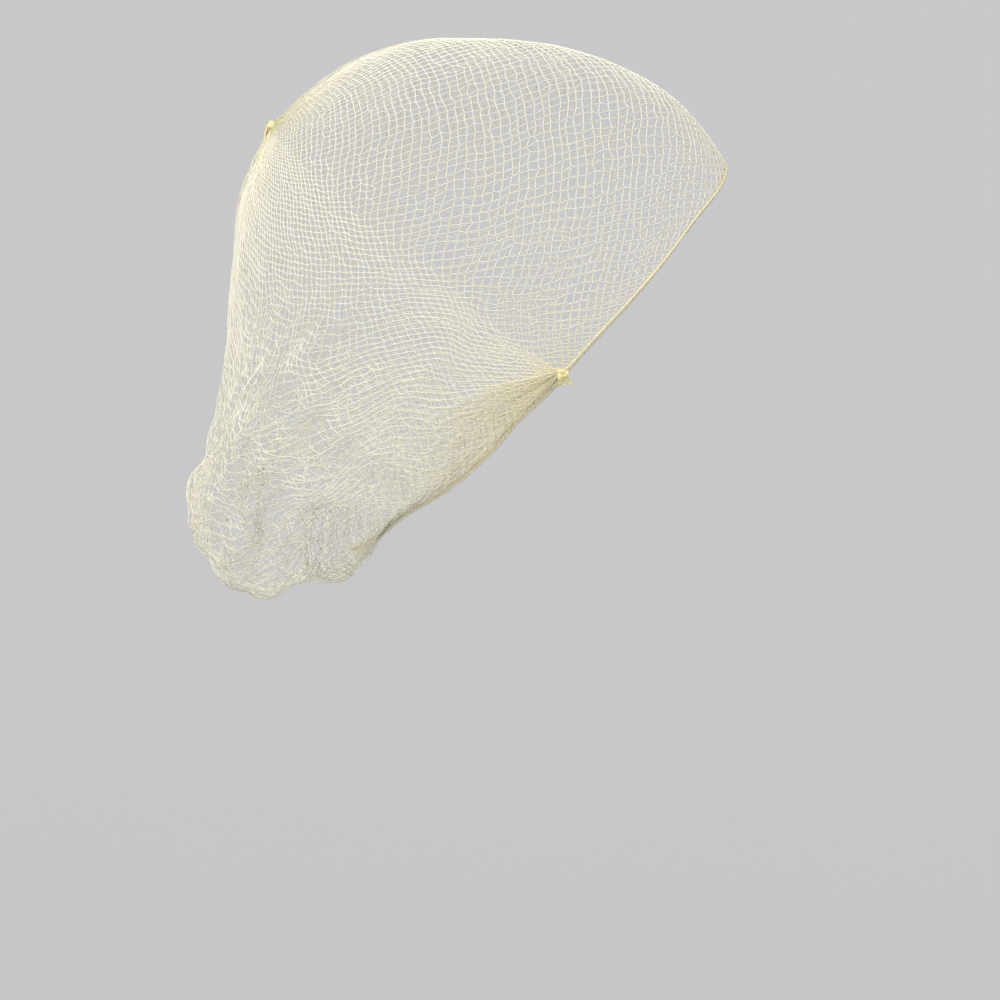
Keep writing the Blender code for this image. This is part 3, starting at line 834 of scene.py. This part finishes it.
def helix(middle, guides, radius, turns, phase):
    """Path that winds round another one."""
    tangent = unit(np.gradient(middle, axis=0))
    across = unit(np.cross(tangent, guides))
    up = np.cross(across, tangent)
    turn = (2 * np.pi * turns + phase)[:, None]
    return middle + radius * (across * np.cos(turn) + up * np.sin(turn))


class HAIRNET_OT_cord(bpy.types.Operator):
    """Lay the covered elastic in the edge, with the net's edge loops round it"""

    bl_idname = "hairnet.cord"
    bl_label = "Lay edge cord"

    def execute(self, context):
        surface = Surface()
        knot, inside_knot = surface.edge.knot, 0.42
        end = settings().knots.side_length * inside_knot / surface.edge.length
        self.elastic(surface, "elastic_back", knot + end, 1.0 - knot - end)
        self.elastic(surface, "elastic_front", 1.0 - knot + end, 1.0 + knot - end)
        self.edge_loops(surface)
        return {"FINISHED"}

    def elastic(self, surface, name, start, end):
        """Rubber core of one stretch, and the yarns that are wound round it."""
        cord = settings().cord
        core_points, core_sides, core_tint = 420, 12, 0.25
        wrap_yarns, phase, bedded = 3, 2.1, 0.7
        turn_points, wrap_sides, wrap_tint = 8, 4, 0.1
        middle, guides = surface.cord(np.linspace(start, end, core_points))
        add_threads(
            name + "_core", "elastic", name, core_sides, middle[None], cord.core / 2, guides,
            core_tint)
        turns = (end - start) * surface.edge.length / cord.wrap_pitch
        wound = np.linspace(0.0, turns, int(turns * turn_points))
        middle, guides = surface.cord(np.linspace(start, end, len(wound)))
        radius = (cord.core + cord.wrap * bedded) / 2
        coils = [
            helix(middle, guides, radius, wound, phase * number) for number in range(wrap_yarns)]
        add_threads(
            name + "_wrap", "elastic", name, wrap_sides, coils, cord.wrap / 2, guides, wrap_tint)

    def edge_loops(self, surface):
        """Small loops that hold the edge of the net on the cord."""
        cord, yarn = settings().cord, settings().yarn
        loops_per_wale, points, first_turn = 2, 12, 0.3
        ahead, greatest_slant, slant_share = 0.0008, 0.9, 0.8
        clearance, thickness, tint = 0.32, 0.42, 0.35
        wales = (np.arange(yarn.wales * loops_per_wale) + 0.5) / loops_per_wale
        place = wale_place(surface, wales / yarn.wales, np.zeros_like(wales))
        middle, guides = surface.cord(place)
        tangent = unit(surface.cord(place + ahead)[0] - middle)
        across = unit(np.cross(tangent, guides))
        random = np.random.default_rng(yarn.seed + LOOP_SEED)
        slant = random.uniform(-greatest_slant, greatest_slant, (len(wales), 1, 1))
        turn = np.linspace(0.0, 2 * np.pi * (points - 1) / points, points)[None, :, None]
        turn = turn + first_turn
        radius = cord.core / 2 + cord.wrap + yarn.diameter * clearance
        ring = across[:, None] * np.cos(turn) + guides[:, None] * np.sin(turn)
        ring = ring + tangent[:, None] * np.sin(turn) * slant * slant_share
        add_threads(
            "edge_loops", "net", "net", LOOSE_SIDES, middle[:, None] + ring * radius,
            yarn.diameter * thickness, tangent[:, None], tint)


def round_frames(path):
    """Directions across a free path that turn as little as they can."""
    tangent = unit(np.gradient(path, axis=0))
    any_heading = (0.3, 0.5, 0.8)
    guide = np.cross(tangent[0], any_heading)
    guides = []
    for step in tangent:
        guide = guide - step * np.dot(guide, step)
        guide = guide / np.linalg.norm(guide)
        guides.append(guide)
    return np.array(guides)


def strands_round(path, spread, count, twist):
    """Strands that twist together along a path, for one rope of a knot."""
    guides = round_frames(path)
    turns = np.linspace(0.0, twist, len(path))
    width = np.broadcast_to(spread, (len(path),))[:, None]
    phases = 2 * np.pi * np.arange(count) / count
    strands = np.array([helix(path, guides, width, turns, phase) for phase in phases])
    return strands, np.broadcast_to(guides, strands.shape)


def overhand(centre, axes, size):
    """Closed overhand path pulled tight, as long, wide and thick as size says."""
    steps, breadth, height = 150, 3.0, 1.6
    turn = np.linspace(0.0, 2 * np.pi, steps)
    shape = np.stack([
        np.sin(turn) + 2 * np.sin(2 * turn), np.cos(turn) - 2 * np.cos(2 * turn),
        -height * np.sin(3 * turn)], axis=-1)
    shape = shape / np.array([breadth, breadth, height]) * (np.array(size) / 2)
    return centre + shape @ np.array(axes)


def knot_heart(centre, axes, size):
    """Path and radii of the wound heart that fills a knot."""
    steps, turns, wide, deep, long = 70, 5, 0.26, 0.22, 0.40
    thickness, thinning = 0.17, 0.5
    spin = np.linspace(-1.0, 1.0, steps)
    turn, taper = np.pi * spin * turns, 1 - spin ** 2
    wound = [spin * 0, np.cos(turn) * taper * wide, np.sin(turn) * taper * deep]
    path = centre + np.stack(wound, axis=-1) @ np.array(axes) * size[1]
    path = path + spin[:, None] * axes[0] * size[0] * long
    return path, size[2] * thickness * (1 - thinning * spin ** 2)


def knot_pieces(name, centre, axes, size, tails):
    """Wound knot: an overhand rope of twisted strands round a heart, and its cut tails."""
    strand = settings().knots.strand
    rope_share, rope_strands, rope_twist, rope_tint = 0.17, 6, 9.0, 0.75
    heart_sides, heart_tint = 8, 1.0
    narrow, wide, tail_strands, tail_twist = 0.0002, 0.00027, 3, 2.5
    tail_thickness, tail_tint = 0.42, 0.45
    rope = min(size) * rope_share
    path = overhand(centre, axes, np.array(size) - 2 * rope - strand)
    strands, guides = strands_round(path, rope, rope_strands, rope_twist)
    add_threads(
        name + "_rope", "knot", name, STRAND_SIDES, strands, strand / 2, guides, rope_tint)
    path, radii = knot_heart(centre, axes, size)
    add_threads(
        name + "_core", "knot", name, heart_sides, path[None], radii, round_frames(path),
        heart_tint)
    ends = [
        strands_round(tail, np.linspace(narrow, wide, len(tail)), tail_strands, tail_twist)
        for tail in tails]
    strands, guides = (np.concatenate(part) for part in zip(*ends))
    add_threads(
        name + "_tail", "knot", name, STRAND_SIDES, strands, strand * tail_thickness, guides,
        tail_tint)


def curved(points):
    """Smooth path through a few points."""
    steps, points = 26, np.array(points, float)
    place = np.linspace(0.0, len(points) - 1.0, steps)
    low = np.minimum(place.astype(int), len(points) - 2)
    slope = np.gradient(points, axis=0)
    share = (place - low)[:, None]
    return hermite(points[low], points[low + 1], slope[low], slope[low + 1], share)


class HAIRNET_OT_side_knots(bpy.types.Operator):
    """Tie the side knots where the two stretches of cord meet"""

    bl_idname = "hairnet.side_knots"
    bl_label = "Tie side knots"

    def execute(self, context):
        surface, knots = Surface(), settings().knots
        knot, ahead, depth, start = surface.edge.knot, 0.004, 0.86, 0.1
        far_reach, far_back = 0.5, -0.1
        for node, side in zip(SIDE_KNOTS, (-1, 1)):
            place = knot if side < 0 else 1.0 - knot
            middle, normal = surface.cord(np.array([place, place + side * ahead]))
            centre, outward = middle[0], normal[0]
            forward = unit(middle[1] - middle[0])
            down = unit(np.cross(forward, outward))
            down = down if down[2] < 0 else -down
            size = (knots.side_length, knots.side_width, knots.side_width * depth)
            reach = knots.side_tail * (1.0 if side < 0 else far_reach)
            back = 0.0 if side < 0 else far_back
            tails = [
                curved([centre + down * start * reach] + [
                    centre + reach * (
                        down * low + forward * (lean * share + offset + back) + outward * out)
                    for low, share, offset in SIDE_TAIL_STOPS])
                for lean, out in SIDE_TAILS]
            knot_pieces(node, centre, (forward, down, outward), size, tails)
        return {"FINISHED"}


class HAIRNET_OT_crown_knot(bpy.types.Operator):
    """Tie the crown knot that closes the top of the net"""

    bl_idname = "hairnet.crown_knot"
    bl_label = "Tie crown knot"

    def execute(self, context):
        surface, knots, wall = Surface(), settings().knots, settings().form.wall
        beside, over_wall, over_width, rooted, standing = 0.97, 1.1, 0.40, 0.0002, 1.5
        long, deep = 1.15, 0.9
        base = crown_point(surface.top[None])[0]
        outward = surface.normal(np.array([0.5]), np.array([beside]))[0]
        outward = unit(outward * (1.0, 0.0, 1.0))
        across = np.array([0.0, 1.0, 0.0])
        down = np.cross(outward, across)
        width, reach = knots.crown_width, knots.crown_tail
        centre = base + outward * (wall * over_wall + width * over_width)
        tails = []
        for sideways, droop in CROWN_TAILS:
            stops = ((0.14, 0.34, 0.4), (0.02, 0.70, 0.8), (-0.14, droop, 1.0))
            tails.append(curved([centre] + [
                centre + (outward * out + down * low + across * sideways * share) * reach
                for out, low, share in stops]))
        tails.append(curved(
            [base - outward * rooted, base + outward * wall * standing, centre]))
        size = (width * long, width, width * deep)
        knot_pieces("crown_knot", centre, (down, across, outward), size, tails)
        return {"FINISHED"}


def floor_material():
    """Matt finish of the floor, with the least unevenness."""
    material = bpy.data.materials.new("pale_floor")
    material.use_nodes = True
    nodes = material.node_tree.nodes
    shader = preset(nodes["Principled BSDF"], {"Roughness": 0.9, "Specular IOR Level": 0.1})
    cloud = preset(nodes.new("ShaderNodeTexNoise"), {"Scale": 2.0})
    tone = preset(nodes.new("ShaderNodeMapRange"), {"To Min": 0.985, "To Max": 1.015})
    base = nodes.new("ShaderNodeVectorMath")
    base.operation = "SCALE"
    preset(base, {"Vector": settings().colours.floor})
    wire(
        material.node_tree, (cloud, "Fac", tone, "Value"), (tone, "Result", base, "Scale"),
        (base, "Vector", shader, "Base Color"))
    return material


class HAIRNET_OT_stage(bpy.types.Operator):
    """Set up the floor, the light and the camera"""

    bl_idname = "hairnet.stage"
    bl_label = "Set stage"

    def execute(self, context):
        stage = settings().stage
        self.floor(stage)
        self.lights(stage)
        self.camera(context.scene, stage)
        context.scene.view_settings.view_transform = "Standard"
        return {"FINISHED"}

    def floor(self, stage):
        """Round floor that curves up into a plain surround far away."""
        level, rim, rise, bend = 1.2, 5.2, 1.5, 2.2
        rings, sides = 25, 96
        points = [(0.0, 0.0, -stage.floor_drop)]
        for share in np.linspace(0.0, 1.0, rings):
            radius, height = level + (rim - level) * share, rise * share ** bend
            for step in range(sides):
                turn = 2 * math.pi * step / sides
                points.append((
                    radius * math.cos(turn), radius * math.sin(turn), height - stage.floor_drop))
        faces = [(0, 1 + step, 1 + (step + 1) % sides) for step in range(sides)]
        for ring in range(rings - 1):
            for step in range(sides):
                here, after = ring * sides + 1 + step, ring * sides + 1 + (step + 1) % sides
                faces.append((here, here + sides, after + sides, after))
        mesh = bpy.data.meshes.new("floor")
        mesh.from_pydata(points, [], faces)
        mesh.shade_smooth()
        floor = bpy.data.objects.new("floor", mesh)
        floor.data.materials.append(floor_material())
        bpy.context.scene.collection.objects.link(floor)

    def lights(self, stage):
        """Even sky, a key light from the picture's left, fill from its right, and back light."""
        world = bpy.data.worlds.new("soft_light")
        world.use_nodes = True
        preset(world.node_tree.nodes["Background"], {
            "Color": (1.0, 0.99, 0.975, 1.0), "Strength": stage.sky})
        bpy.context.scene.world = world
        # Azimuth, height and spread in degrees, and strength
        lamps = {
            "key_light": (-48.0, 38.0, 34.0, stage.key),
            "fill_light": (42.0, 26.0, 40.0, stage.fill),
            "back_light": (165.0, 40.0, 40.0, stage.rim),
        }
        for name, (azimuth, height, spread, strength) in lamps.items():
            lamp = bpy.data.lights.new(name, "SUN")
            lamp.angle = math.radians(spread)
            lamp.energy = strength
            item = bpy.data.objects.new(name, lamp)
            item.rotation_euler = (math.radians(90.0 - height), 0.0, math.radians(azimuth))
            bpy.context.scene.collection.objects.link(item)

    def camera(self, scene, stage):
        """Long lens at the level of the net, square to its right side."""
        lens = bpy.data.cameras.new("camera")
        lens.sensor_width = 36.0
        lens.lens = lens.sensor_width * stage.distance / stage.frame_width
        camera = bpy.data.objects.new("camera", lens)
        camera.location = (stage.frame_x, -stage.distance, stage.frame_z)
        camera.rotation_euler = (math.pi / 2, 0.0, 0.0)
        scene.collection.objects.link(camera)
        scene.camera = camera


OPERATORS = (
    HAIRNET_OT_stage, HAIRNET_OT_net, HAIRNET_OT_gathers, HAIRNET_OT_cord,
    HAIRNET_OT_side_knots, HAIRNET_OT_crown_knot,
)


class HAIRNET_PT_panel(bpy.types.Panel):
    """Sidebar panel with the settings and the steps"""

    bl_idname = "HAIRNET_PT_panel"
    bl_label = "Hairnet"
    bl_space_type = "VIEW_3D"
    bl_region_type = "UI"
    bl_category = "Hairnet"

    def draw(self, context):
        for part in HairnetSettings.__annotations__:
            box = self.layout.box()
            box.label(text=part.capitalize())
            group = getattr(settings(), part)
            for name in group.__annotations__:
                box.prop(group, name)
        for operator in OPERATORS:
            self.layout.operator(operator.bl_idname)


CLASSES = (
    HairnetForm, HairnetYarn, HairnetCord, HairnetKnots, HairnetColours, HairnetStage,
    HairnetSettings, *OPERATORS, HAIRNET_PT_panel,
)


def register():
    """Add the settings, the steps and the panel."""
    for item in CLASSES:
        bpy.utils.register_class(item)
    bpy.types.Scene.hairnet = bpy.props.PointerProperty(type=HairnetSettings)


def unregister():
    """Take them away again."""
    del bpy.types.Scene.hairnet
    for item in reversed(CLASSES):
        bpy.utils.unregister_class(item)


def main():
    """Run every step in order."""
    register()
    bpy.ops.hairnet.stage()
    bpy.ops.hairnet.net()
    bpy.ops.hairnet.gathers()
    bpy.ops.hairnet.cord()
    bpy.ops.hairnet.side_knots()
    bpy.ops.hairnet.crown_knot()


if __name__ == "__main__":
    main()
